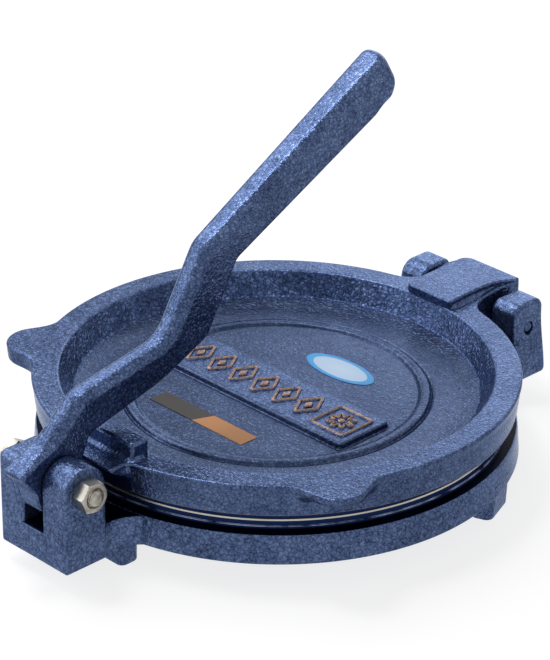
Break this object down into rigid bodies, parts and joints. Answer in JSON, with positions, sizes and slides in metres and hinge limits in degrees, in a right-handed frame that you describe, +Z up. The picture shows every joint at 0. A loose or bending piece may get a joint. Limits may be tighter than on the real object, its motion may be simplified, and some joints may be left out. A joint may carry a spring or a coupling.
{
  "type": "tortilla press",
  "caption": "Cast-iron press with a dished round lid hinged to a round footed base, and a bent lever in a front clevis that presses the lid down.",
  "frame": {"origin": "on the table, under the middle of the whole press seen from above", "axes": "+Z up, +Y along the press from the lever's clevis to the hinge, +X to the right seen from the lever's side"},
  "size_m": [0.21, 0.2808, 0.1747],
  "materials": {
    "paint": "blue hammertone paint over cast iron",
    "plated_steel": "zinc plated",
    "painted_pin": "steel pin painted over with the castings",
    "blue_label": "glossy printed sticker",
    "brown_label": "satin printed sticker"
  },
  "bodies": {
    "base": {"base_casting": "paint", "pivot_bolt": "plated_steel", "pivot_nut": "plated_steel", "hinge_pin": "painted_pin"},
    "lid": {"lid_casting": "paint", "oval_label": "blue_label", "strip_label": "brown_label"},
    "lever": {"lever": "paint"}
  },
  "joints": [
    {"name": "lever_swing", "type": "hinge", "parent": "base", "child": "lever", "pos_m": [0, -0.1196, 0.0419], "axis": [1, 0, 0], "range_deg": [0, 82]},
    {"name": "lid_open", "type": "hinge", "parent": "base", "child": "lid", "pos_m": [0, 0.1299, 0.0345], "axis": [-1, 0, 0], "range_deg": [0, 105]}
  ],
  "couplings": [
    {"joint": "lid_open", "follows": "lever_swing", "ratio": 0.18}
  ]
}
